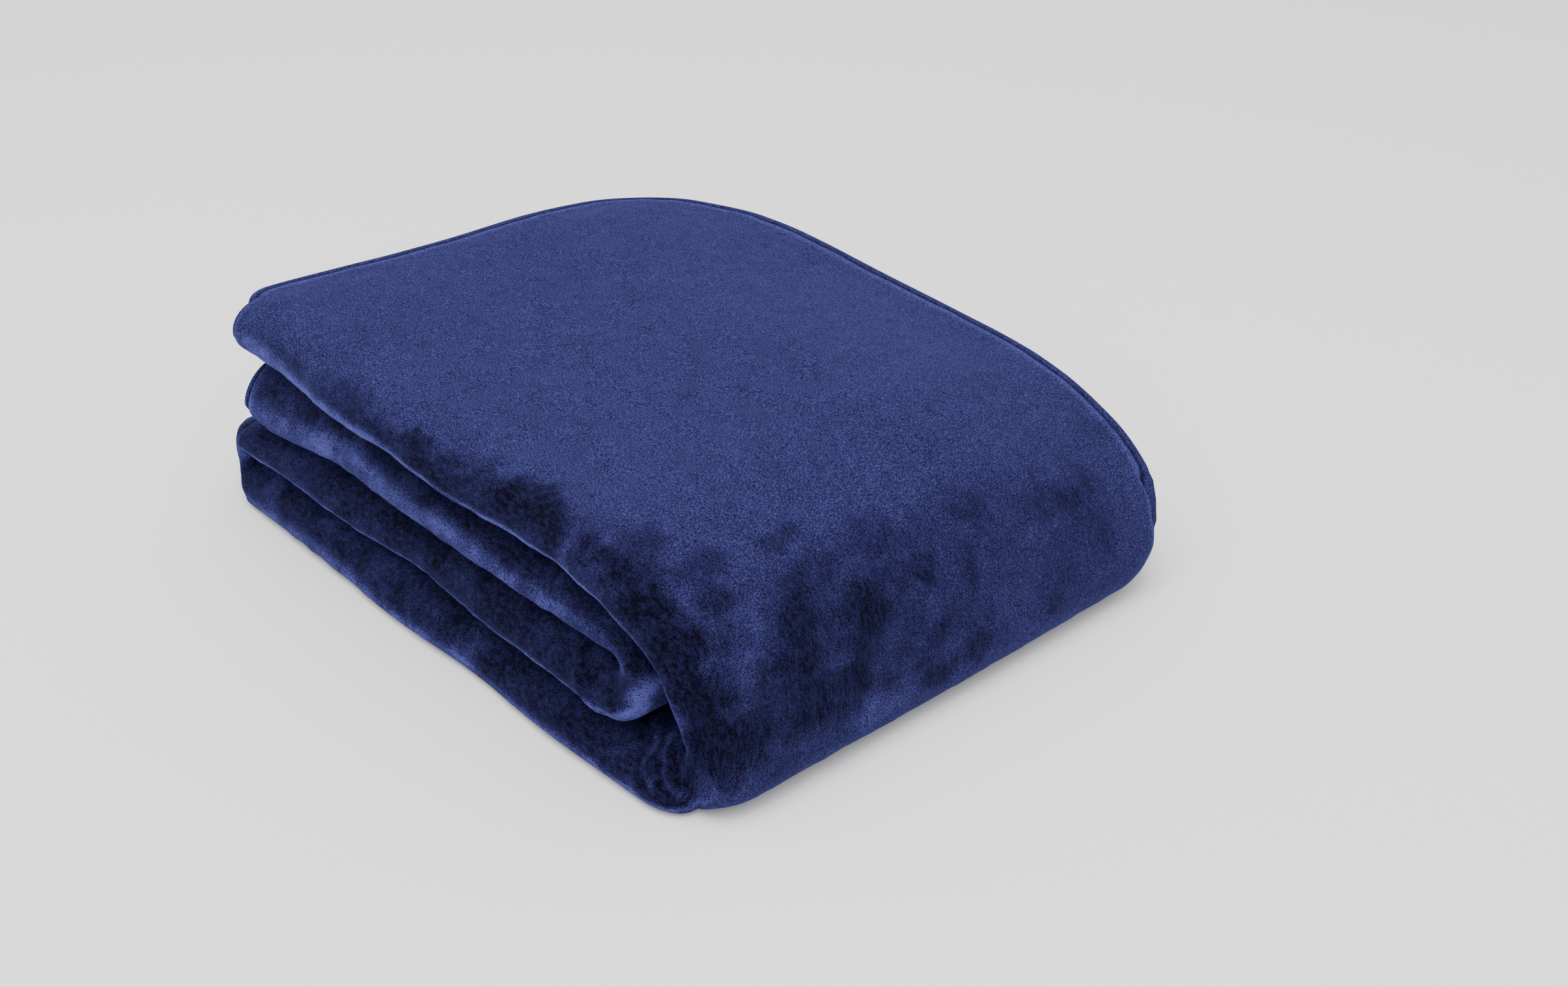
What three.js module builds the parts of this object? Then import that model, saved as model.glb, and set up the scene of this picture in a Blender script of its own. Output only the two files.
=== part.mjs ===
// A plush fleece blanket, cut as one flat cloth and folded into a stack of sixteen layers.
// The cloth is first folded in four across its width, which gives a long strip of four leaves
// with its outer fold at the front (-Y) and its hems at the back (+Y). The strip is then folded
// in half twice, which gives four bands: a big fold at +X round a small one, and at -X a rear
// fold under two hem ends.
// Millimetres, +Z up, origin on the floor under the middle of the stack.
import * as THREE from "three";
import { mergeVertices } from "three/addons/utils/BufferGeometryUtils.js";

// The cut cloth
const clothLength = 1524;
const clothWidth = 1270;
const clothThick = 6.6; // pile on both faces included
const clothCornerRadius = 80;
const hemWidth = 5;
const hemThinning = 0.5; // the sewn hem against the full pile
const pileRise = 8; // from the hem to the full pile

// How closely the layers lie
const leafGap = 1;
const bandGap = 1.2;
const leafPitch = clothThick + leafGap;
const bandThick = 4 * clothThick + 3 * leafGap;
const bandPitch = bandThick + bandGap;
const stackHeight = 4 * bandThick + 3 * bandGap;

// Heights of the band middles, counted from the floor
const bottomBandZ = bandThick / 2;
const thirdBandZ = bottomBandZ + bandPitch;
const secondBandZ = bottomBandZ + 2 * bandPitch;
const topBandZ = bottomBandZ + 3 * bandPitch;

// The fold across the width, seen from the end of the strip
const rimDrop = 0.6; // how far the front rim hangs towards the floor, as a share of the half strip
const rimReach = 16; // depth of the rounded front rim
const rimLean = 10; // how much the drop lengthens its upper side and shortens its lower side
const innerFoldInset = 22; // the leaf fold inside the rim
const hemStep = 5; // the lower hem stands out from under the upper one by this much

// The folds along the length, seen from the front
const kneeHeight = 38; // where the big fold stands out furthest
const kneeReach = 30;
const shoulderReach = 62;
const frontSqueeze = 0.15; // how much thinner the strip is pulled round the big fold
const innerFoldBack = 57; // the inner fold's centre, behind the nose of the big fold
const topTail = 20; // the hem ends at -X, past the centre of the rear fold
const secondTail = 14;

// Grid lines that the straight leaves (y) and the straight bands (x) share
const leafMarks = [-137, -80, 0, 70, 118, 134];
const bandMarks = [-150, -105, -60, -15, 30, 75, 120];
const markClearance = 6;

function smoothStep(from, to, value) {
  return THREE.MathUtils.smoothstep((value - from) / (to - from), 0, 1);
}

function mix(a, b, t) {
  return a + (b - a) * t;
}

// Length of a quarter of an ellipse, by Ramanujan's formula
function quarterEllipse(a, b) {
  return (Math.PI / 4) * (3 * (a + b) - Math.sqrt((3 * a + b) * (a + 3 * b)));
}

// A stretch of cloth has its length, its place "at" a share t of it, and its grid lines "cuts".
function curved(length, steps, at) {
  return { length, at, cuts: Array.from({ length: steps }, (_, step) => step / steps) };
}

function straight(from, to, marks, at) {
  const inside = marks.filter((mark) => Math.min(Math.abs(mark - from), Math.abs(mark - to)) > markClearance);
  const cuts = inside.map((mark) => (mark - from) / (to - from)).filter((t) => t > 0 && t < 1);
  return { length: Math.abs(to - from), at: (t) => at(mix(from, to, t)), cuts: [0, ...cuts.sort((a, b) => a - b)] };
}

// Across the width: "depth" counts from the front rim towards the hems, "lift" from the middle
// of the strip.
const halfStrip = 1.5 * leafPitch;
const leafFold = (Math.PI * leafPitch) / 2;
const rimLength = 2 * quarterEllipse(rimReach, halfStrip);
const rimStart = clothThick / 2;
const leafRun =
  (clothWidth - 2 * leafFold - rimLength + hemStep + 2 * leafPitch + 2 * innerFoldInset + 2 * rimReach) / 4;
const hemDepth = rimStart + leafRun;
const backFoldDepth = hemDepth - leafPitch;
const innerFoldDepth = rimStart + innerFoldInset;
const halfDepth = hemDepth / 2 + rimStart / 2;

function leaf(fromDepth, toDepth, lift) {
  return straight(fromDepth, toDepth, leafMarks.map((y) => y + halfDepth), (depth) => ({ depth, lift }));
}

function bend(length, steps, centre, reachDepth, reachLift, fromAngle, toAngle) {
  return curved(length, steps, (t) => {
    const angle = mix(fromAngle, toAngle, t);
    return {
      depth: centre.depth + reachDepth * Math.cos(angle),
      lift: centre.lift + reachLift * Math.sin(angle),
    };
  });
}

// "hang" is 1 where the upper leaf faces up, -1 where it faces down and 0 where it faces out.
const halfTurn = Math.PI;
const quarterTurn = Math.PI / 2;
function widthStretches(hang) {
  const rimLift = -rimDrop * halfStrip * hang;
  const upperReach = rimReach + rimLean * hang;
  const lowerReach = rimReach - rimLean * hang;
  const fold = leafPitch / 2;
  const inner = { depth: innerFoldDepth, lift: 0 };
  const back = { depth: backFoldDepth, lift: -leafPitch };
  const lower = { depth: rimStart + lowerReach, lift: rimLift };
  const upper = { depth: rimStart + upperReach, lift: rimLift };
  return [
    leaf(hemDepth, innerFoldDepth, fold),
    bend(leafFold, 3, inner, fold, fold, quarterTurn, 3 * quarterTurn),
    leaf(innerFoldDepth, backFoldDepth, -fold),
    bend(leafFold, 3, back, fold, fold, quarterTurn, -quarterTurn),
    { ...leaf(backFoldDepth, lower.depth, -halfStrip), length: backFoldDepth - rimStart - rimReach },
    bend(rimLength / 2, 3, lower, lowerReach, halfStrip + rimLift, 3 * quarterTurn, halfTurn),
    bend(rimLength / 2, 5, upper, upperReach, halfStrip - rimLift, halfTurn, quarterTurn),
    { ...leaf(upper.depth, hemDepth - hemStep, halfStrip), length: hemDepth - hemStep - rimStart - rimReach },
  ];
}

// Along the length: each place is the middle of the strip (x, z) with the way its upper leaf
// faces (nx, nz).
const turnRadius = bandPitch / 2;
const turnLength = Math.PI * turnRadius;
const shoulderRise = topBandZ - kneeHeight;
const kneeRise = kneeHeight - bottomBandZ;
const shoulderLength = quarterEllipse(shoulderReach, shoulderRise);
const kneeLength = quarterEllipse(kneeReach, kneeRise);
const foldSpan =
  (clothLength - 2 * turnLength - shoulderLength - kneeLength
    + shoulderReach + kneeReach + 2 * innerFoldBack - topTail - secondTail) / 4;
const rearReach = turnRadius + bandThick / 2;
const noseReach = bandThick / 2;
const rearX = -(foldSpan + rearReach + noseReach) / 2 + rearReach;
const noseX = rearX + foldSpan;
const innerX = noseX - innerFoldBack;
const rearTurnZ = (bottomBandZ + thirdBandZ) / 2;
const innerTurnZ = (thirdBandZ + secondBandZ) / 2;

function band(fromX, toX, z, facing) {
  return straight(fromX, toX, bandMarks, (x) => ({ x, z, nx: 0, nz: facing }));
}

function turn(length, steps, x, z, reachX, reachZ, fromAngle, toAngle, facing) {
  return curved(length, steps, (t) => {
    const angle = mix(fromAngle, toAngle, t);
    const nx = Math.cos(angle) / reachX;
    const nz = Math.sin(angle) / reachZ;
    const size = Math.hypot(nx, nz) * facing;
    return { x: x + reachX * Math.cos(angle), z: z + reachZ * Math.sin(angle), nx: nx / size, nz: nz / size };
  });
}

const quarter = quarterTurn;
const radius = turnRadius;
const lengthStretches = [
  band(rearX - topTail, noseX - shoulderReach, topBandZ, 1),
  turn(shoulderLength, 6, noseX - shoulderReach, kneeHeight, shoulderReach, shoulderRise, quarter, 0, 1),
  turn(kneeLength, 4, noseX - kneeReach, kneeHeight, kneeReach, kneeRise, 0, -quarter, 1),
  band(noseX - kneeReach, rearX, bottomBandZ, -1),
  turn(turnLength, 7, rearX, rearTurnZ, radius, radius, -quarter, -3 * quarter, 1),
  band(rearX, innerX, thirdBandZ, 1),
  turn(turnLength, 5, innerX, innerTurnZ, radius, radius, -quarter, quarter, -1),
  band(innerX, rearX - secondTail, secondBandZ, -1),
];

// The place on a row of stretches, for a measure along the cloth
function along(stretches, measure) {
  let start = 0;
  for (const stretch of stretches.slice(0, -1)) {
    if (measure <= start + stretch.length) return stretch.at((measure - start) / stretch.length);
    start += stretch.length;
  }
  const last = stretches[stretches.length - 1];
  return last.at((measure - start) / last.length);
}

// Cuts a round corner: how far to draw (a, b) in, so that a square becomes a quarter disc.
function roundCorner(a, b) {
  if (a <= 0 || b <= 0) return 1;
  return Math.max(a, b) / Math.hypot(a, b);
}

// The settled stack: soft layers lean on each other, so the clean folds are moved a little.
// How far each gap between bands, counted from the floor, is lifted at the rear (-X), in the
// middle and behind the big fold.
const gapLifts = [
  { height: 0, rear: 0, middle: 0, front: 0 },
  { height: 1, rear: 6, middle: 3, front: 0 },
  { height: 2, rear: 2, middle: 3, front: 4 },
  { height: 3, rear: 7, middle: 3, front: 1 },
  { height: 4, rear: 0, middle: 1, front: 0 },
];
// The share of its height that the stack loses at the back, where it has no folds
const hemSideSink = { rear: 0.1, middle: 0.125, nose: 0.2 };
const hemSideFrom = 20; // the y where the sinking starts
const frontPillow = 6; // the top lobe stands up over the front rim at the rear
const endPinch = 0.22; // share of its height that a hem end loses at its tip
const endReach = 8; // the top hem end is pulled out
const shoulderSlump = 7; // how far the top of the big fold sags
const noseFoot = 27; // how far the big fold spreads on the floor
const frontFoot = 8; // the same along the front rims
const rearBulge = 12; // the rear fold pushes out under the hem ends
const rimWander = 2.2;
const topWave = 1.3;
// The rounded corners in plan, with a radius for the low layers and one for the high ones
const planCorners = [
  { towardsX: -1, towardsY: -1, reachX: 216, reachY: 174, low: 24, high: 34 },
  { towardsX: 1, towardsY: -1, reachX: 208, reachY: 174, low: 34, high: 34 },
  { towardsX: 1, towardsY: 1, reachX: 208, reachY: 165, low: 20, high: 20 },
  { towardsX: -1, towardsY: 1, reachX: 206, reachY: 163, low: 20, high: 16 },
];

function gapLift(x, height) {
  const n = Math.min(3, Math.floor(height));
  const [below, above] = [gapLifts[n], gapLifts[n + 1]];
  const rear = mix(below.rear, above.rear, height - n);
  const middle = mix(below.middle, above.middle, height - n);
  const front = mix(below.front, above.front, height - n);
  return x < 0 ? mix(middle, rear, smoothStep(0, -170, x)) : mix(middle, front, smoothStep(0, 90, x));
}

function settle({ x, y, z }) {
  const height = Math.max(0, (4 * z) / stackHeight);
  const rise = height / 4;
  const rear = smoothStep(-60, -190, x);
  const nose = smoothStep(70, 165, x);
  const front = smoothStep(0, -halfDepth, y);
  const back = smoothStep(0, halfDepth, y);

  const sinkShare = mix(mix(hemSideSink.middle, hemSideSink.rear, rear), hemSideSink.nose, nose);
  const sink = 1 - sinkShare * smoothStep(hemSideFrom, halfDepth, y);
  const wave = topWave * (Math.sin(x / 47 + 0.6) * Math.cos(y / 52 - 0.4) + Math.sin(y / 71 + x / 90));
  const pillow = frontPillow * rear * front * smoothStep(0.6, 1, rise);
  const tip = height > 2 ? smoothStep(-160, -200, x) * (height - Math.floor(height) - 0.5) : 0;
  const slump = shoulderSlump * smoothStep(100, 160, x) * smoothStep(0.3, 0.75, rise);
  const newZ = z * sink + gapLift(x, height) + wave * rise * rise + pillow - endPinch * tip * bandPitch - slump;

  const foot = Math.pow(Math.max(0, 1 - height / 1.6), 1.5) * (1 - 0.3 * back);
  const bulge = rearBulge * rear * (1 - smoothStep(1.2, 2, height));
  let newX = x + noseFoot * nose * foot - bulge - endReach * rear * smoothStep(0.6, 0.8, rise);

  const wander = Math.sin(newX / 38 + newZ / 17) + 0.6 * Math.sin(newX / 19 - newZ / 11);
  const backWander = 0.5 * Math.sin(newX / 53 + newZ / 23);
  let newY = y + rimWander * (front * wander * (0.5 + rise / 2) - back * backWander);
  newY -= frontFoot * front * Math.max(0, 1 - height / 1.5);

  for (const { towardsX, towardsY, reachX, reachY, low, high } of planCorners) {
    const cornerRadius = mix(low, high, smoothStep(1.2, 2.2, height));
    const coreX = reachX - cornerRadius;
    const coreY = reachY - cornerRadius;
    const a = newX * towardsX - coreX;
    const b = newY * towardsY - coreY;
    const k = roundCorner(a, b);
    if (k < 1) {
      newX = (coreX + a * k) * towardsX;
      newY = (coreY + b * k) * towardsY;
    }
  }
  return new THREE.Vector3(newX, newY, newZ);
}

// The folded place of a point of the flat cloth: "lengthwise" and "crosswise" from one corner,
// "side" +0.5 on one face of the cloth and -0.5 on the other.
function fold(lengthwise, crosswise, side) {
  const endA = clothCornerRadius - Math.min(lengthwise, clothLength - lengthwise);
  const endB = clothCornerRadius - Math.min(crosswise, clothWidth - crosswise);
  const k = roundCorner(endA, endB);
  if (k < 1) {
    lengthwise += Math.sign(clothLength / 2 - lengthwise) * endA * (1 - k);
    crosswise += Math.sign(clothWidth / 2 - crosswise) * endB * (1 - k);
  }
  const toEdge = clothCornerRadius - Math.max(endA, endB);
  const pile = mix(hemThinning, 1, smoothStep(hemWidth, hemWidth + pileRise, toEdge));

  const middle = along(lengthStretches, lengthwise);
  const stretches = widthStretches(middle.nz);
  const small = 0.01;
  const here = along(stretches, crosswise);
  const before = along(stretches, Math.max(0, crosswise - small));
  const after = along(stretches, Math.min(clothWidth, crosswise + small));
  const size = Math.hypot(after.depth - before.depth, after.lift - before.lift);
  const offset = side * clothThick * pile;
  const depth = here.depth - (offset * (after.lift - before.lift)) / size;
  const lift = here.lift + (offset * (after.depth - before.depth)) / size;
  const squeeze = 1 - frontSqueeze * Math.max(0, middle.nx) * smoothStep(0, 60, middle.x);

  return settle({
    x: middle.x + middle.nx * lift * squeeze,
    y: depth - halfDepth,
    z: middle.z + middle.nz * lift * squeeze,
  });
}

// Where the flat cloth is divided: at the cuts of each stretch, and along its edges at the hem
// and at the foot of the pile.
function stations(stretches, total) {
  const edge = [0, hemWidth, hemWidth + pileRise, 0.3 * clothCornerRadius, clothCornerRadius / 2];
  const clear = clothCornerRadius / 2 + markClearance;
  const places = [...edge, ...edge.map((inset) => total - inset)];
  let start = 0;
  for (const { length, cuts } of stretches) {
    for (const cut of cuts) {
      const place = start + length * cut;
      if (place > clear && place < total - clear) places.push(place);
    }
    start += length;
  }
  return places.sort((a, b) => a - b);
}

const lengthPlaces = stations(lengthStretches, clothLength);
const widthPlaces = stations(widthStretches(0), clothWidth);

function foldedCloth() {
  const rows = lengthPlaces.length - 1;
  const columns = widthPlaces.length - 1;
  const flat = new THREE.BoxGeometry(rows, columns, 1, rows, columns, 1);
  flat.deleteAttribute("normal");
  flat.deleteAttribute("uv");
  const cloth = mergeVertices(flat);
  const position = cloth.getAttribute("position");
  for (let n = 0; n < position.count; n += 1) {
    const row = Math.round(position.getX(n) + rows / 2);
    const column = Math.round(position.getY(n) + columns / 2);
    const place = fold(lengthPlaces[row], widthPlaces[column], position.getZ(n));
    position.setXYZ(n, place.x, place.y, place.z);
  }
  cloth.computeBoundingBox();
  const { min, max } = cloth.boundingBox;
  cloth.translate(-(min.x + max.x) / 2, -(min.y + max.y) / 2, -min.z);
  cloth.computeVertexNormals();
  return cloth;
}

const fleece = new THREE.MeshStandardMaterial({ color: 0x26346e, roughness: 0.95, metalness: 0 });
const blanket = new THREE.Mesh(foldedCloth(), fleece);
blanket.name = "blanket";

const group = new THREE.Group();
group.add(blanket);
export default group;
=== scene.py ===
import math
import bpy
import bmesh
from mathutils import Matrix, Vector, noise


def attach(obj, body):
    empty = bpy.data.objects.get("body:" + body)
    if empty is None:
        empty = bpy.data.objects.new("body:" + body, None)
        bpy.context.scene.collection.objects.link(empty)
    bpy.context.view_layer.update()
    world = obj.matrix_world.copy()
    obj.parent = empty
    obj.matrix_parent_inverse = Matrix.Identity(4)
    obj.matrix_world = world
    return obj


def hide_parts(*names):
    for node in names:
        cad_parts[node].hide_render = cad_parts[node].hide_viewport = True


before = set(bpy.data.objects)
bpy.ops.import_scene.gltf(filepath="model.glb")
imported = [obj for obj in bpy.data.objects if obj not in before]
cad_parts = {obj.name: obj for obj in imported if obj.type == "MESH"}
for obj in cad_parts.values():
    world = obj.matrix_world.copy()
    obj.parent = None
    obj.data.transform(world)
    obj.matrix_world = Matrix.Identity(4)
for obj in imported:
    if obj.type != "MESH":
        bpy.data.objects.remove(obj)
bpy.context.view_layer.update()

# A plush fleece throw, modelled flat at its real size and folded into its stack.
# The cloth is worked out in millimetres and written to the mesh in metres.
# On the flat cloth, s runs along its length and c across its width.
toMetres = 0.001

cloth = {
    "length": 1524, "width": 1270, "thick": 6.6, "gap": 1.0, "bandGap": 1.2, "corner": 80,
}
# the fold across the width: four leaves, the outer fold at -Y
strip = {"rimDrop": 0.6, "rimReach": 16, "rimLean": 10, "foldInset": 22, "hemStep": 5}
# the folds along the length: four bands, the big fold at +X
roll = {
    "kneeHeight": 38, "kneeReach": 30, "shoulderReach": 62, "squeeze": 0.15, "squeezeTo": 60,
    "innerBack": 57, "topTail": 20, "secondTail": 14,
}

pitch = cloth["thick"] + cloth["gap"]
bandThick = 4 * cloth["thick"] + 3 * cloth["gap"]
bandPitch = bandThick + cloth["bandGap"]
stackHeight = 4 * bandThick + 3 * cloth["bandGap"]
halfStrip = 1.5 * pitch
bandZ = [bandThick / 2 + n * bandPitch for n in range(4)]
quarterTurn = math.pi / 2


def smooth(low, high, value):
    t = min(1, max(0, (value - low) / (high - low)))
    return t * t * (3 - 2 * t)


def mix(a, b, t):
    return a + (b - a) * t


def hump(distance, reach):
    return math.exp(-(distance / reach) ** 2)


def quarterEllipse(a, b):
    return math.pi / 4 * (3 * (a + b) - math.sqrt((3 * a + b) * (a + 3 * b)))


# across the width
leafFold = math.pi * pitch / 2
rimQuarter = quarterEllipse(strip["rimReach"], halfStrip)
rimStart = cloth["thick"] / 2
leafRun = (cloth["width"] - 2 * leafFold - 2 * rimQuarter + strip["hemStep"] + 2 * pitch
           + 2 * strip["foldInset"] + 2 * strip["rimReach"]) / 4
hemDepth = rimStart + leafRun
backFold = hemDepth - pitch
innerFold = rimStart + strip["foldInset"]
halfDepth = (hemDepth + rimStart) / 2
rimFlat = rimStart + strip["rimReach"]
acrossLengths = [
    hemDepth - innerFold, leafFold, backFold - innerFold, leafFold, backFold - rimFlat,
    rimQuarter, rimQuarter, hemDepth - strip["hemStep"] - rimFlat,
]
acrossStarts = [sum(acrossLengths[:n]) for n in range(9)]

# along the length
turnRadius = bandPitch / 2
turnLength = math.pi * turnRadius
shoulderRise = bandZ[3] - roll["kneeHeight"]
kneeRise = roll["kneeHeight"] - bandZ[0]
shoulderLength = quarterEllipse(roll["shoulderReach"], shoulderRise)
kneeLength = quarterEllipse(roll["kneeReach"], kneeRise)
foldSpan = (cloth["length"] - 2 * turnLength - shoulderLength - kneeLength + roll["shoulderReach"]
            + roll["kneeReach"] + 2 * roll["innerBack"] - roll["topTail"] - roll["secondTail"]) / 4
rearX = -(foldSpan + turnRadius + bandThick) / 2 + turnRadius + bandThick / 2
noseX = rearX + foldSpan
innerX = noseX - roll["innerBack"]
shoulderX = noseX - roll["shoulderReach"]
kneeX = noseX - roll["kneeReach"]
alongLengths = [
    shoulderX - rearX + roll["topTail"], shoulderLength, kneeLength, kneeX - rearX, turnLength,
    innerX - rearX, turnLength, innerX - rearX + roll["secondTail"],
]
alongStarts = [sum(alongLengths[:n]) for n in range(9)]


# place on an ellipse, with its outward normal
def ellipse(centreU, centreV, reachU, reachV, angle):
    nu, nv = math.cos(angle) / reachU, math.sin(angle) / reachV
    size = math.hypot(nu, nv)
    u, v = centreU + reachU * math.cos(angle), centreV + reachV * math.sin(angle)
    return u, v, nu / size, nv / size


# depth and lift of the cloth at c, and the way its outer face looks
def across(c, hang):
    n = max(k for k in range(8) if k == 0 or c > acrossStarts[k])
    t = (c - acrossStarts[n]) / acrossLengths[n]
    rimLift = -strip["rimDrop"] * halfStrip * hang
    upper = strip["rimReach"] + strip["rimLean"] * hang
    lower = strip["rimReach"] - strip["rimLean"] * hang
    if n == 0:
        return mix(hemDepth, innerFold, t), pitch / 2, 0, -1
    if n == 1:
        d, l, nd, nl = ellipse(innerFold, 0, pitch / 2, pitch / 2, quarterTurn * (1 + 2 * t))
        return d, l, -nd, -nl
    if n == 2:
        return mix(innerFold, backFold, t), -pitch / 2, 0, 1
    if n == 3:
        return ellipse(backFold, -pitch, pitch / 2, pitch / 2, quarterTurn * (1 - 2 * t))
    if n == 4:
        return mix(backFold, rimStart + lower, t), -halfStrip, 0, -1
    if n == 5:
        return ellipse(rimStart + lower, rimLift, lower, halfStrip + rimLift, quarterTurn * (3 - t))
    if n == 6:
        return ellipse(rimStart + upper, rimLift, upper, halfStrip - rimLift, quarterTurn * (2 - t))
    return mix(rimStart + upper, hemDepth - strip["hemStep"], t), halfStrip, 0, 1


# middle of the strip at s, and the way its upper leaf faces
def along(s):
    n = max(k for k in range(8) if k == 0 or s > alongStarts[k])
    t = (s - alongStarts[n]) / alongLengths[n]
    if n == 0:
        return mix(rearX - roll["topTail"], shoulderX, t), bandZ[3], 0, 1
    if n == 1:
        angle = quarterTurn * (1 - t)
        return ellipse(shoulderX, roll["kneeHeight"], roll["shoulderReach"], shoulderRise, angle)
    if n == 2:
        return ellipse(kneeX, roll["kneeHeight"], roll["kneeReach"], kneeRise, -quarterTurn * t)
    if n == 3:
        return mix(kneeX, rearX, t), bandZ[0], 0, -1
    if n == 4:
        angle = -quarterTurn * (1 + 2 * t)
        return ellipse(rearX, (bandZ[0] + bandZ[1]) / 2, turnRadius, turnRadius, angle)
    if n == 5:
        return mix(rearX, innerX, t), bandZ[1], 0, 1
    if n == 6:
        angle = quarterTurn * (2 * t - 1)
        x, z, nx, nz = ellipse(innerX, (bandZ[1] + bandZ[2]) / 2, turnRadius, turnRadius, angle)
        return x, z, -nx, -nz
    return mix(innerX, rearX - roll["secondTail"], t), bandZ[2], 0, -1


# How the soft stack settles: shares of the height, and lifts and shifts in millimetres
sag = {
    "sinkFrom": 20, "sinkRear": 0.1, "sinkMiddle": 0.14, "sinkNose": 0.2, "pillow": 6,
    "pinch": 0.22, "endReach": 3.5, "slump": 7, "slumpBack": 0.3, "noseFoot": 27, "frontFoot": 8,
    "footHeight": 1.6, "frontFootHeight": 1.5, "footBack": 0.2, "bulge": 15, "backLift": 4,
    "backDip": 5.8, "wander": 2.2, "wave": 1.3, "shiftX": 3.37, "shiftY": 4.93,
}
# where each effect begins and is full, in millimetres along X from the middle of the stack
zones = {
    "rear": (60, 190), "tip": (160, 200), "rearLift": (0, 170),
    "nose": (70, 165), "slump": (100, 160), "frontLift": (0, 90),
}
# the same in height, as shares of the stack; the bulge begins to end and is gone, in bands
levels = {"pillow": (0.6, 1), "slump": (0.3, 0.75), "endReach": (0.6, 0.8), "bulgeBands": (1.2, 2)}
# lift of each gap between the bands, from the floor up: at the rear, in the middle, at the front
gapLifts = [(0, 0, 0), (3, 3, 0), (-3, 3, 4), (2, 3, 1), (2.4, 1, 0)]
# the back edge rises at one place and dips at the rear corner: place and reach
backRise = {"x": -110, "reach": 70}
cornerDip = {"x": -144, "y": 158, "reach": 50}
# slow waves on the top: wave over x and y, and a slant one
waves = {"x": 47, "shiftX": 0.6, "y": 52, "shiftY": -0.4, "slantY": 71, "slantX": 90}
# how the front and the back face wander: share, wave in x and in z
frontWanders = [(1, 38, 17), (0.6, 19, -11)]
backWanders = [(0.5, 53, 23)]
# sway of the front foot: place in x, reach, size
footSways = [(75, 50, 1.6), (-125, 45, -3), (185, 35, -3)]
# rounded corners in plan: side in X, side in Y, reach in X and Y, radius low and high, and the
# height in bands about which it changes
planCorners = [
    (-1, -1, 216, 174, 24, 33, 1.7),
    (1, -1, 208, 174, 42, 34, 1.7),
    (1, 1, 208, 165, 40, 22, 0.9),
    (-1, 1, 206, 163, 20, 16, 1.7),
]


def gapLift(x, height):
    n = min(3, int(height))
    rear, middle, front = [mix(gapLifts[n][k], gapLifts[n + 1][k], height - n) for k in range(3)]
    if x < 0:
        return mix(middle, rear, smooth(*zones["rearLift"], -x))
    return mix(middle, front, smooth(*zones["frontLift"], x))


def wanderOf(wanders, x, z):
    return sum(share * math.sin(x / waveX + z / waveZ) for share, waveX, waveZ in wanders)


# where a place in the neat stack ends up; height is in bands, rise is its share of the stack
def settle(x, y, z):
    height = max(0, 4 * z / stackHeight)
    rise = height / 4
    rear = smooth(*zones["rear"], -x)
    nose = smooth(*zones["nose"], x)
    front = smooth(0, halfDepth, -y)
    back = smooth(0, halfDepth, y)

    share = mix(mix(sag["sinkMiddle"], sag["sinkRear"], rear), sag["sinkNose"], nose)
    sink = 1 - share * smooth(sag["sinkFrom"], halfDepth, y)
    wave = math.sin(x / waves["x"] + waves["shiftX"]) * math.cos(y / waves["y"] + waves["shiftY"])
    wave += math.sin(y / waves["slantY"] + x / waves["slantX"])
    pillow = sag["pillow"] * rear * front * smooth(*levels["pillow"], rise)
    tip = 0
    if height > 2:
        tip = smooth(*zones["tip"], -x) * (height - min(3, int(height)) - 0.5)
    slump = sag["slump"] * smooth(*zones["slump"], x) * smooth(*levels["slump"], rise)
    slump *= 1 - sag["slumpBack"] * back
    newZ = z * sink + gapLift(x, height) + sag["wave"] * wave * rise * rise + pillow
    newZ -= sag["pinch"] * tip * bandPitch + slump
    newZ += sag["backLift"] * back * rise * hump(x - backRise["x"], backRise["reach"])
    away = math.hypot(x - cornerDip["x"], y - cornerDip["y"])
    newZ -= sag["backDip"] * rise * rise * hump(away, cornerDip["reach"])

    foot = max(0, 1 - height / sag["footHeight"]) ** 1.5 * (1 - sag["footBack"] * back)
    bulge = sag["bulge"] * rear * (1 - smooth(*levels["bulgeBands"], height))
    newX = x + sag["noseFoot"] * nose * foot - bulge
    newX -= sag["endReach"] * rear * smooth(*levels["endReach"], rise)

    wander = front * wanderOf(frontWanders, newX, newZ) * (0.5 + rise / 2)
    wander -= back * wanderOf(backWanders, newX, newZ)
    sway = sum(size * hump(x - place, reach) for place, reach, size in footSways)
    newY = y + sag["wander"] * wander
    newY -= (sag["frontFoot"] + sway) * front * max(0, 1 - height / sag["frontFootHeight"])

    for sideX, sideY, reachX, reachY, low, high, change in planCorners:
        radius = mix(low, high, smooth(change - 0.5, change + 0.5, height))
        a = newX * sideX - (reachX - radius)
        b = newY * sideY - (reachY - radius)
        if a > 0 and b > 0:
            k = max(a, b) / math.hypot(a, b)
            newX = (reachX - radius + a * k) * sideX
            newY = (reachY - radius + b * k) * sideY
    return newX + sag["shiftX"], newY + sag["shiftY"], newZ


# The hem: its stitched strip, the groove beside it and the rise to the full pile, in
# millimetres from the edge and shares of the thickness. Its inner line wavers a little.
hem = {
    "wide": 5, "share": 0.62, "edgeShare": 0.5, "edgeRound": 1.6, "groove": 0.18, "pileRise": 4.5,
    "risePower": 0.8, "waverFull": 4, "wavers": [(0.35, 17), (0.3, 7.3)],
}
# the top hem stands up a little from the leaf under it, less so towards the big fold
hemFlick = {"rise": 1.5, "reach": 16, "loss": 0.8, "lossZone": (220, 310)}


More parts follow.
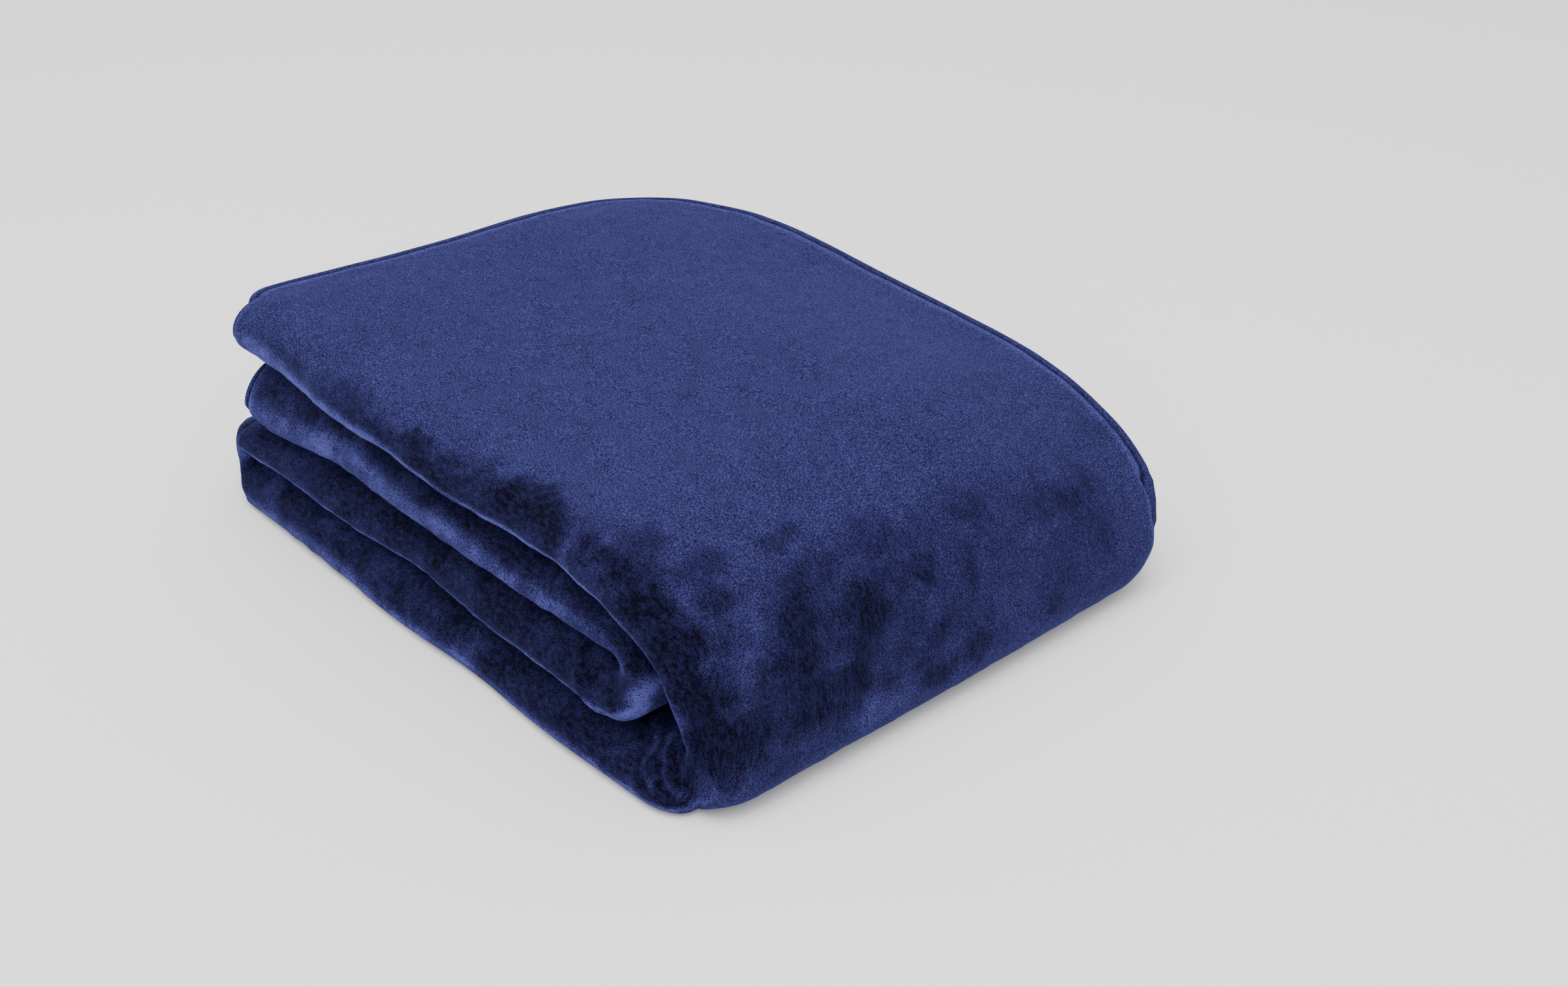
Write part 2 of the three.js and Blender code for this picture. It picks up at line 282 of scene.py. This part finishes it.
# cuts the cloth's corners round; gives the moved place, the way to the edge and along it
def roundCloth(s, c):
    corner, long, wide = cloth["corner"], cloth["length"], cloth["width"]
    endS, endC = corner - min(s, long - s), corner - min(c, wide - c)
    edge = corner - max(endS, endC)
    way = s if endC > endS else c
    if endS > 0 and endC > 0:
        k = max(endS, endC) / math.hypot(endS, endC)
        s += math.copysign(endS * (1 - k), long / 2 - s)
        c += math.copysign(endC * (1 - k), wide / 2 - c)
        way = corner * math.atan2(endS, endC)
    return s, c, edge, way


# share of the full thickness towards the edge
def pileShare(edge):
    wide, share, groove = hem["wide"], hem["share"], hem["groove"]
    if edge < wide:
        rounded = mix(hem["edgeShare"], 1, smooth(0, hem["edgeRound"], edge))
        return share * rounded - groove * smooth(wide - 1, wide, edge)
    return mix(share - groove, 1, smooth(wide, wide + hem["pileRise"], edge) ** hem["risePower"])


# the place in space of a place on the flat cloth; side is 0.5 outside and -0.5 inside
def foldPoint(s, c, side):
    s, c, edge, way = roundCloth(s, c)
    waver = sum(size * math.sin(way / wave) for size, wave in hem["wavers"])
    edge += smooth(0, hem["waverFull"], edge) * waver
    x, z, nx, nz = along(s)
    depth, lift, nd, nl = across(c, nz)
    offset = side * cloth["thick"] * pileShare(edge)
    if s < alongStarts[3] and c > acrossStarts[4]:
        flick = hemFlick["rise"] * (1 - hemFlick["loss"] * smooth(*hemFlick["lossZone"], s))
        offset += flick * (1 - smooth(0, hemFlick["reach"], edge))
    depth += nd * offset
    lift += nl * offset
    squeeze = 1 - roll["squeeze"] * max(0, nx) * smooth(0, roll["squeezeTo"], x)
    place = settle(x + nx * lift * squeeze, depth - halfDepth, z + nz * lift * squeeze)
    return Vector(place), edge, way


# The flat cloth: grid lines a finger's breadth apart, closer at the hems, the rim and the turns
grid = {
    "visible": 13, "hidden": 24, "turn": 8, "rim": 5.5, "fold": 3.2,
    "hemLines": (0, 5, 6.5, 9, 14, 24, 36), "hemClear": 4, "pleatLines": (472, 485, 491),
    "topFrom": 280, "rimMargins": (12, 26), "rearMargin": 10, "cuts": 4,
}


def gridLines(starts, spacings, total, extra=()):
    clear = grid["hemLines"][-1] + grid["hemClear"]
    lines = list(grid["hemLines"]) + [total - h for h in grid["hemLines"]] + list(extra)
    for n, spacing in enumerate(spacings):
        steps = max(1, round((starts[n + 1] - starts[n]) / spacing))
        for step in range(steps):
            place = mix(starts[n], starts[n + 1], step / steps)
            if clear < place < total - clear:
                lines.append(place)
    return sorted(lines)


seen, hidden, turn, fold, rim = [grid[k] for k in ("visible", "hidden", "turn", "fold", "rim")]
rowSpacings = [seen, seen, turn, seen, turn, seen, turn, seen]
columnSpacings = [hidden, fold, hidden, fold, hidden, rim, rim, seen]
rows = gridLines(alongStarts, rowSpacings, cloth["length"], grid["pleatLines"])
columns = gridLines(acrossStarts, columnSpacings, cloth["width"])

bm = bmesh.new()
bmesh.ops.create_grid(bm, x_segments=len(rows) - 1, y_segments=len(columns) - 1, size=1)
for v in bm.verts:
    v.co.x = rows[round((v.co.x + 1) / 2 * (len(rows) - 1))]
    v.co.y = columns[round((v.co.y + 1) / 2 * (len(columns) - 1))]
bmesh.ops.solidify(bm, geom=bm.faces[:], thickness=1)
middle = (min(v.co.z for v in bm.verts) + max(v.co.z for v in bm.verts)) / 2
for v in bm.verts:
    v.co.z -= middle
print("flat cloth", len(rows), "by", len(columns), "lines,", len(bm.faces), "faces")


# where the outer face shows, it is divided again: the top and the big fold, all the rims and
# the rear fold
def shows(face):
    at = face.calc_center_median()
    if min(v.co.z for v in face.verts) < 0:
        return False
    before, after = grid["rimMargins"]
    onTop = at.x < alongStarts[3] and at.y > acrossStarts[4] + grid["topFrom"]
    onRim = acrossStarts[5] - before < at.y < acrossStarts[7] + after
    nearRear = alongStarts[4] - grid["rearMargin"] < at.x < alongStarts[5] + grid["rearMargin"]
    return onTop or onRim or (nearRear and at.y > acrossStarts[7])


visible = {e for f in bm.faces if shows(f) for e in f.edges}
bmesh.ops.subdivide_edges(bm, edges=list(visible), cuts=grid["cuts"], use_grid_fill=True)
print("divided to", len(bm.faces), "faces,", len(bm.verts), "vertices")

# the material reads these four; all are made before any is filled
for name in ("edge", "way", "napAndPaintedLight"):
    bm.verts.layers.float.new(name)
bm.verts.layers.float_vector.new("flat")
edgeLayer, wayLayer, napAndPaintedLightLayer = [bm.verts.layers.float[name] for name in ("edge", "way", "napAndPaintedLight")]
flatLayer = bm.verts.layers.float_vector["flat"]

flatPlaces = {}
for v in bm.verts:
    s, c, side = v.co
    flatPlaces[v] = (s, c, side)
    v[flatLayer] = Vector((s, c, side)) * toMetres
    v.co, v[edgeLayer], v[wayLayer] = foldPoint(s, c, side)
bm.normal_update()
volume = bm.calc_volume(signed=True)
if volume < 0:
    bmesh.ops.reverse_faces(bm, faces=bm.faces[:])
    bm.normal_update()
print("folded, volume", round(volume / 1e6, 2), "litres")

# Patches where the pile was brushed the other way and looks darker, or lighter where the
# strength is negative: place s and c, reach in s and c, strength
brushed = [
    (328, 967, 9, 7, 0.36), (349, 981, 7, 13, 0.32), (363, 977, 7, 9, 0.36),
    (345, 958, 12, 8, 0.4), (380, 956, 28, 8, 0.35), (352, 1028, 5, 14, 0.35),
    (369, 1030, 5, 18, 0.2), (383, 1018, 10, 12, 0.25), (395, 1058, 13, 10, 0.3),
    (405, 1030, 20, 22, 0.15), (423, 1035, 7, 18, 0.25), (414, 1000, 15, 17, 0.15),
    (425, 970, 11, 16, 0.3), (389, 1096, 9, 8, 0.32), (421, 1096, 5, 10, 0.34),
    (435, 1097, 5, 11, 0.34), (434, 1122, 5, 9, 0.28), (400, 1122, 15, 7, 0.15),
    (372, 1135, 8, 13, 0.15), (385, 1192, 9, 20, 0.12), (380, 1220, 8, 5, 0.2),
    (356, 1250, 8, 12, 0.12), (366, 1075, 8, 13, 0.1), (430, 1190, 10, 14, 0.1),
    (395, 978, 14, 9, -0.22), (378, 995, 9, 8, -0.12), (378, 1055, 7, 14, -0.12),
    (404, 1090, 8, 8, -0.12), (436, 1060, 6, 18, -0.25), (300, 948, 5, 6, -0.45),
    (272, 958, 12, 6, 0.4), (290, 952, 7, 6, 0.25), (245, 954, 12, 5, 0.3),
    (215, 938, 20, 4, 0.4), (180, 951, 12, 4, 0.25), (120, 952, 14, 4, 0.2),
    (1238, 951, 10, 7, -0.2), (1262, 950, 12, 6, 0.25), (1335, 951, 12, 5, 0.5),
    (1400, 950, 24, 6, 0.3), (1190, 949, 34, 12, 0.28), (600, 944, 9, 6, -0.3),
    (640, 940, 14, 5, -0.2), (960, 944, 16, 5, -0.3), (1000, 938, 18, 5, 0.2),
    (1080, 948, 30, 5, 0.2), (905, 945, 20, 8, -0.15), (1172, 936, 9, 9, -0.4),
    (443, 953, 10, 9, -0.35),
]
# Small pleats where the folded edge is pushed together: from s and c, to s and c, width, height
pleats = [
    (480, 926, 470, 940, 3, 1.7), (469, 929, 456, 944, 3, 1.9), (461, 928, 446, 938, 2.6, 1.5),
    (441, 936, 434, 943, 2.4, 1), (1151, 932, 1134, 953, 3, 1.8),
    (1163, 938, 1158, 948, 2.4, 0.9), (1242, 930, 1240, 944, 2.6, 1.2),
]
# a pleat fades out past its ends, has a steep and a shallow side, a painted highlight on its crest and
# painted shade at its foot
pleatShape = {
    "over": 0.3, "fullFrom": 0.1, "fullTo": 0.9, "near": 40, "steep": 0.6, "shallow": 1.5,
    "crestPaintedHighlight": 0.2, "crestReach": 1.4, "footPaintedShade": 0.22, "footPlace": 3.4, "footReach": 2,
}


# rise of the pleats at a place, and their painted light: a painted highlight on the crests and painted
# shade at the feet
def pleatAt(s, c):
    rise, paintedLight = 0, 0
    over = pleatShape["over"]
    for fromS, fromC, toS, toC, width, height in pleats:
        runS, runC = toS - fromS, toC - fromC
        size = math.hypot(runS, runC)
        t = ((s - fromS) * runS + (c - fromC) * runC) / size ** 2
        if -over < t < 1 + over and abs(s - fromS) < pleatShape["near"]:
            away = ((s - fromS) * runC - (c - fromC) * runS) / size
            ends = smooth(-over, pleatShape["fullFrom"], t)
            ends *= 1 - smooth(pleatShape["fullTo"], 1 + over, t)
            reach = width * (pleatShape["steep"] if away > 0 else pleatShape["shallow"])
            rise += height * ends * hump(away, reach)
            # painted highlight on the crest and painted shade at the foot
            crest = pleatShape["crestPaintedHighlight"] * hump(away, pleatShape["crestReach"])
            foot = pleatShape["footPaintedShade"] * hump(away - pleatShape["footPlace"], pleatShape["footReach"])
            paintedLight += height * ends * (crest - foot)
    return rise, paintedLight


# How bright the pile looks, from its nap and from painted light and shade: 0 is dark, 1 is bright.
# The bends make the outlines of the patches uneven: size of the noise and how far it moves them.
pile = {
    "plain": 0.86, "inside": 0.7, "bends": [(16, 4), (6, 3.5)], "mottleSize": 21, "mottle": 0.34,
    "underFrom": (446, 470), "underTo": (800, 830), "under": 0.15, "spotEdge": (0.7, 1.35),
    "darkest": 0.17, "darkSoftness": 8, "brightest": 1.5, "seed": 5,
}
# painted shade: the front of the big fold is painted darker, most of all towards its rim
frontPaintedShade = {
    "start": (352, 378), "waver": 9, "end": (428, 444), "endShare": 0.9, "hemSide": (1222, 1256),
    "dark": (0.31, 0.16), "darkChange": (1060, 1130), "mottle": (0.9, 0.5),
    "mottleChange": (1060, 1120),
}
# where the rims begin and end across the cloth; near the rear the top rim ends lower
rimZone = {"start": (-6, 4), "end": (-14, -2), "rearShift": 7, "rearZone": (150, 260)}
# painted light on the rounded front rims, by where each stretch starts along the cloth: a painted
# highlight where the surface faces down and painted shade where it faces up;
# about this slope of the surface they change from the painted highlight to the painted shade, and how
# strong each is
rims = [
    # from, slope, painted shade, painted highlight
    (0, 0.1, 0.12, 1.2), (60, 0.05, 0.3, 1.35), (200, -0.05, 0.56, 1.35),
    (290, -0.28, 0.6, 1.35), (424, -0.3, 0.6, 1.25), (520, 0.1, 0.62, 1.05),
    (700, 0.2, 0.6, 1.15), (800, 0.1, 0.46, 1.05), (860, -0.3, 0.5, 1.25),
    (980, -0.35, 0.62, 1.25), (1150, -0.3, 0.58, 1.25), (1200, 0.3, 0.6, 1.05),
    (1250, 0.45, 0.62, 1.15), (1524, 0.4, 0.38, 1.05),
]
rimChange = (-0.12, 0.3)  # the change begins and ends this far from that slope
# the stitched strip with its own lighter tone, painted shade in the groove beside it and a painted
# highlight on the rim of the pile, by their distance from the edge
hemLook = {
    "strip": 0.9, "stripEnd": (3.9, 4.8), "groove": 0.4, "grooveStart": (3.9, 5),
    "grooveEnd": (6, 7.8), "rimPaintedHighlight": 0.3, "rimStart": (6.5, 8), "rimEnd": (9.5, 14),
}


# painted light on a rim: painted highlight where the surface faces down, painted shade where it faces up
def rimPaintedLight(s, slope):
    n = max(k for k in range(len(rims) - 1) if k == 0 or s > rims[k][0])
    start, end = rims[n], rims[n + 1]
    t = (s - start[0]) / (end[0] - start[0])
    edgeSlope, dark, bright = (mix(start[k], end[k], t) for k in (1, 2, 3))
    upward = smooth(edgeSlope + rimChange[0], edgeSlope + rimChange[1], slope)
    return mix(bright, pile["plain"] - dark, upward)


def onRimAt(s, c):
    start, end = rimZone["start"], rimZone["end"]
    shift = rimZone["rearShift"] * (1 - smooth(*rimZone["rearZone"], s))
    low, high = acrossStarts[7] + end[0] - shift, acrossStarts[7] + end[1] - shift
    return smooth(acrossStarts[5] + start[0], acrossStarts[5] + start[1], c) * (1 - smooth(low, high, c))


def paintedLightAndNapTone(s, c, p, normal):
    bend = Vector()
    for size, reach in pile["bends"]:
        bend += noise.noise_vector(p / size) * reach
    s, c = s + bend.x, c + bend.y
    mottle = noise.fractal(p / pile["mottleSize"], 0.5, 2, 4)
    front = smooth(*frontPaintedShade["start"], s + frontPaintedShade["waver"] * mottle)
    front *= 1 - frontPaintedShade["endShare"] * smooth(*frontPaintedShade["end"], s)
    front *= 1 - smooth(*frontPaintedShade["hemSide"], c)
    tone = pile["plain"]
    # painted shade on the front of the big fold
    tone -= front * mix(*frontPaintedShade["dark"], smooth(*frontPaintedShade["darkChange"], c))
    # painted shade on the bottom band, under the bands above it
    tone -= pile["under"] * smooth(*pile["underFrom"], s) * (1 - smooth(*pile["underTo"], s))
    rim = onRimAt(s, c)
    # painted highlight and painted shade on the rims, by how the surface faces
    tone = mix(tone, rimPaintedLight(s, normal.z), rim)
    frontMottle = front * mix(*frontPaintedShade["mottle"], smooth(*frontPaintedShade["mottleChange"], c))
    tone += max(rim, frontMottle) * pile["mottle"] * mottle
    for spotS, spotC, reachS, reachC, strength in brushed:
        away = math.hypot((s - spotS) / reachS, (c - spotC) / reachC)
        if away < pile["spotEdge"][1]:
            tone -= strength * (1 - smooth(*pile["spotEdge"], away))
    # painted highlight on the pleat crests and painted shade at their feet
    tone += pleatAt(s, c)[1]
    # the darkest tone is reached softly
    darkest, softness = pile["darkest"], pile["darkSoftness"]
    tone = darkest + math.log(1 + math.exp((tone - darkest) * softness)) / softness
    return min(pile["brightest"], tone)


def hemTone(tone, edge):
    # painted highlight on the rim of the pile and painted shade in the groove beside the hem
    pileRim = smooth(*hemLook["rimStart"], edge) * (1 - smooth(*hemLook["rimEnd"], edge))
    groove = smooth(*hemLook["grooveStart"], edge) * (1 - smooth(*hemLook["grooveEnd"], edge))
    tone = mix(tone + hemLook["rimPaintedHighlight"] * pileRim, hemLook["groove"], groove)
    return mix(hemLook["strip"], tone, smooth(*hemLook["stripEnd"], edge))


# Tufts: a low relief all over, stronger on the rims, where the pile stands open
tufts = {
    "broad": 26, "wide": 11, "fine": 4.6, "fineShare": 0.5, "height": 0.35, "rimHeight": 0.55,
    "rimLumps": 0.8, "rimStart": (-10, 6), "rimEnd": (-6, 14), "hemFade": (2, 12), "lowest": 4,
}


def tuftRelief(c, p):
    rim = smooth(acrossStarts[5] + tufts["rimStart"][0], acrossStarts[5] + tufts["rimStart"][1], c)
    rim *= 1 - smooth(acrossStarts[7] + tufts["rimEnd"][0], acrossStarts[7] + tufts["rimEnd"][1], c)
    relief = noise.noise(p / tufts["wide"]) + tufts["fineShare"] * noise.noise(p / tufts["fine"])
    relief *= mix(tufts["height"], tufts["rimHeight"], rim)
    relief += tufts["rimLumps"] * rim * noise.noise(p / tufts["broad"])
    # the two inner leaves lie pressed together
    return relief * smooth(acrossStarts[3], acrossStarts[4], c)


noise.seed_set(pile["seed"])  # the bends are the same in every run
for v in bm.verts:
    s, c, side = flatPlaces[v]
    p = v.co.copy()
    v[napAndPaintedLightLayer] = pile["inside"]
    if side > 0:
        v[napAndPaintedLightLayer] = hemTone(paintedLightAndNapTone(s, c, p, v.normal), v[edgeLayer])
    if side > 0 and p.z > tufts["lowest"]:
        relief = tuftRelief(c, p) * smooth(*tufts["hemFade"], v[edgeLayer])
        v.co += v.normal * (relief + pleatAt(s, c)[0])
bmesh.ops.scale(bm, vec=(toMetres, toMetres, toMetres), verts=bm.verts[:])

mesh = bpy.data.meshes.new("blanketCloth")
bm.to_mesh(mesh)
bm.free()
mesh.polygons.foreach_set("use_smooth", [True] * len(mesh.polygons))
blanket = bpy.data.objects.new("blanketCloth", mesh)
bpy.context.collection.objects.link(blanket)
print("mesh", len(mesh.polygons), "faces")


# Materials
def newMaterial(name):
    made = bpy.data.materials.new(name)
    made.use_nodes = True
    made.node_tree.nodes.clear()
    return made, made.node_tree.nodes, made.node_tree.links


fleeceLook = {
    "shades": [
        (0.03, (0.0015, 0.0013, 0.005, 1)), (0.35, (0.0088, 0.0082, 0.035, 1)),
        (0.7, (0.0205, 0.0207, 0.08, 1)), (1, (0.04, 0.042, 0.15, 1)),
    ],
    # noise: scale, detail
    "patch": (34, 6), "tuft": (130, 5), "grain": (1250, 3), "hair": (700, 3),
    "noiseRoughness": 0.6, "combScale": (0.42, 1, 1), "combTurn": (0, 0, 0.5),
    # weights in the tone
    "patchTone": 0.25, "tuftTone": 0.42, "grainTone": 4.2, "hairTone": 1.8, "stitchTone": 0.16,
    "open": 0.88, "least": 0.15, "ruffledBelow": 0.95, "toneScale": 0.7, "rimPaintedHighlight": 1.3,
    # stitches of the hem, in millimetres: spacing, and where the strip ends
    "stitch": 1.1, "stripEnd": (5, 4),
    "bumpGrain": 0.5, "bumpStitch": 0.3, "bumpStrength": 0.35, "bumpDistance": 0.0012,
    "roughness": 0.9, "specular": 0.03, "sheen": 0.12, "sheenRoughness": 0.4,
    "sheenTint": (0.22, 0.27, 1, 1),
}
fleece, nodes, links = newMaterial("fleece")


# these four add nodes to the fleece
def addAttribute(name):
    made = nodes.new("ShaderNodeAttribute")
    made.attribute_name = name
    return made


def addNoise(coords, scale, detail):
    made = nodes.new("ShaderNodeTexNoise")
    made.inputs["Scale"].default_value = scale
    made.inputs["Detail"].default_value = detail
    made.inputs["Roughness"].default_value = fleeceLook["noiseRoughness"]
    links.new(coords, made.inputs["Vector"])
    return made.outputs["Fac"]


def calc(operation, first, second):
    made = nodes.new("ShaderNodeMath")
    made.operation = operation
    for n, value in enumerate((first, second)):
        if isinstance(value, (int, float)):
            made.inputs[n].default_value = value
        else:
            links.new(value, made.inputs[n])
    return made.outputs[0]


# 0 at the first value and 1 at the second
def addStep(value, first, second):
    made = nodes.new("ShaderNodeMapRange")
    made.interpolation_type = "SMOOTHSTEP"
    made.inputs["From Min"].default_value = first
    made.inputs["From Max"].default_value = second
    links.new(value, made.inputs["Value"])
    return made.outputs["Result"]


coords = nodes.new("ShaderNodeTexCoord").outputs["Object"]
napAndPaintedLight = addAttribute("napAndPaintedLight").outputs["Fac"]
edge = addAttribute("edge").outputs["Fac"]
way = addAttribute("way").outputs["Fac"]
flat = addAttribute("flat").outputs["Vector"]
combed = nodes.new("ShaderNodeMapping")
combed.inputs["Scale"].default_value = fleeceLook["combScale"]
combed.inputs["Rotation"].default_value = fleeceLook["combTurn"]
links.new(flat, combed.inputs["Vector"])

patch = addNoise(coords, *fleeceLook["patch"])
tuft = addNoise(coords, *fleeceLook["tuft"])
grain = addNoise(coords, *fleeceLook["grain"])
hair = addNoise(combed.outputs["Vector"], *fleeceLook["hair"])

# texture shows most where the pile is bright, hairs where it is ruffled
tone = napAndPaintedLight
strength = calc("MULTIPLY", calc("MINIMUM", napAndPaintedLight, 1), fleeceLook["open"])
strength = calc("ADD", strength, fleeceLook["least"])
for texture, weight in ((patch, "patchTone"), (tuft, "tuftTone"), (grain, "grainTone")):
    around = calc("MULTIPLY", calc("SUBTRACT", texture, 0.5), strength)
    tone = calc("ADD", tone, calc("MULTIPLY", around, fleeceLook[weight]))
ruffled = calc("SUBTRACT", fleeceLook["ruffledBelow"], napAndPaintedLight)
strokes = calc("MULTIPLY", calc("SUBTRACT", hair, 0.5), ruffled)
tone = calc("ADD", tone, calc("MULTIPLY", strokes, fleeceLook["hairTone"]))

# the stitches of the hem run across its strip
turns = calc("MULTIPLY", way, 2 * math.pi / fleeceLook["stitch"])
onHem = addStep(edge, *fleeceLook["stripEnd"])
ribs = calc("MULTIPLY", calc("SINE", turns, 0), onHem)
tone = calc("ADD", tone, calc("MULTIPLY", ribs, fleeceLook["stitchTone"]))
tone = calc("MULTIPLY", tone, fleeceLook["toneScale"])

shades = nodes.new("ShaderNodeValToRGB")
while len(shades.color_ramp.elements) < len(fleeceLook["shades"]):
    shades.color_ramp.elements.new(0.5)
for stop, (place, colour) in zip(shades.color_ramp.elements, fleeceLook["shades"]):
    stop.position = place
    stop.color = colour
links.new(tone, shades.inputs["Fac"])

# painted highlight: the brightest rims are painted brighter than the shades reach
paintedLight = calc("MAXIMUM", calc("SUBTRACT", napAndPaintedLight, 1), 0)
paintedLight = calc("ADD", calc("MULTIPLY", paintedLight, fleeceLook["rimPaintedHighlight"]), 1)
withPaintedHighlight = nodes.new("ShaderNodeVectorMath")
withPaintedHighlight.operation = "SCALE"
links.new(shades.outputs["Color"], withPaintedHighlight.inputs[0])
links.new(paintedLight, withPaintedHighlight.inputs["Scale"])

bumpHeight = calc("ADD", calc("MULTIPLY", grain, fleeceLook["bumpGrain"]), tuft)
bumpHeight = calc("ADD", bumpHeight, calc("MULTIPLY", ribs, fleeceLook["bumpStitch"]))
bump = nodes.new("ShaderNodeBump")
bump.inputs["Strength"].default_value = fleeceLook["bumpStrength"]
bump.inputs["Distance"].default_value = fleeceLook["bumpDistance"]
links.new(bumpHeight, bump.inputs["Height"])

surface = nodes.new("ShaderNodeBsdfPrincipled")
surface.inputs["Roughness"].default_value = fleeceLook["roughness"]
surface.inputs["Specular IOR Level"].default_value = fleeceLook["specular"]
surface.inputs["Sheen Weight"].default_value = fleeceLook["sheen"]
surface.inputs["Sheen Roughness"].default_value = fleeceLook["sheenRoughness"]
surface.inputs["Sheen Tint"].default_value = fleeceLook["sheenTint"]
links.new(withPaintedHighlight.outputs["Vector"], surface.inputs["Base Color"])
links.new(bump.outputs["Normal"], surface.inputs["Normal"])
output = nodes.new("ShaderNodeOutputMaterial")
links.new(surface.outputs["BSDF"], output.inputs["Surface"])
mesh.materials.append(fleece)
print("materials done")

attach(blanket, "root")
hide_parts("blanket")

# Floor, light and camera
studio = {"floorHalf": 6, "floorGrey": (0.85, 0.85, 0.85, 1), "floorRoughness": 0.9, "sky": 1.4}
lamps = [
    # name, place, aim, size, watts
    ("keyLight", (0.2, -0.5, 2.0), (0, 0, 0), 1.6, 44),
    ("fillLight", (1.8, -1.2, 1.2), (0, 0, 0.05), 1.6, 10),
]
# the camera looks down and is turned about Z by these degrees; the lens is in millimetres
view = {
    "sensor": 36, "lens": 49.6, "nearest": 0.05, "place": (0.7995, -0.6439, 0.6308),
    "down": 30.5, "turn": 48,
}

floorMesh = bpy.data.meshes.new("floor")
bm = bmesh.new()
bmesh.ops.create_grid(bm, x_segments=1, y_segments=1, size=studio["floorHalf"])
bm.to_mesh(floorMesh)
bm.free()
floor = bpy.data.objects.new("floor", floorMesh)
bpy.context.collection.objects.link(floor)
paper, paperNodes, paperLinks = newMaterial("paper")
surface = paperNodes.new("ShaderNodeBsdfPrincipled")
surface.inputs["Base Color"].default_value = studio["floorGrey"]
surface.inputs["Roughness"].default_value = studio["floorRoughness"]
output = paperNodes.new("ShaderNodeOutputMaterial")
paperLinks.new(surface.outputs["BSDF"], output.inputs["Surface"])
floorMesh.materials.append(paper)

world = bpy.data.worlds.new("studio")
bpy.context.scene.world = world
world.use_nodes = True
sky = world.node_tree.nodes["Background"]
sky.inputs["Color"].default_value = (1, 1, 1, 1)
sky.inputs["Strength"].default_value = studio["sky"]

for name, place, aim, size, watts in lamps:
    data = bpy.data.lights.new(name, "AREA")
    data.size = size
    data.energy = watts
    lamp = bpy.data.objects.new(name, data)
    lamp.location = place
    lamp.rotation_euler = (Vector(aim) - Vector(place)).to_track_quat("-Z", "Y").to_euler()
    bpy.context.collection.objects.link(lamp)

cameraData = bpy.data.cameras.new("camera")
cameraData.sensor_width = view["sensor"]
cameraData.lens = view["lens"]
cameraData.clip_start = view["nearest"]
camera = bpy.data.objects.new("camera", cameraData)
camera.location = view["place"]
camera.rotation_euler = (math.radians(90 - view["down"]), 0, math.radians(view["turn"]))
bpy.context.collection.objects.link(camera)
bpy.context.scene.camera = camera
print("camera and lights done")
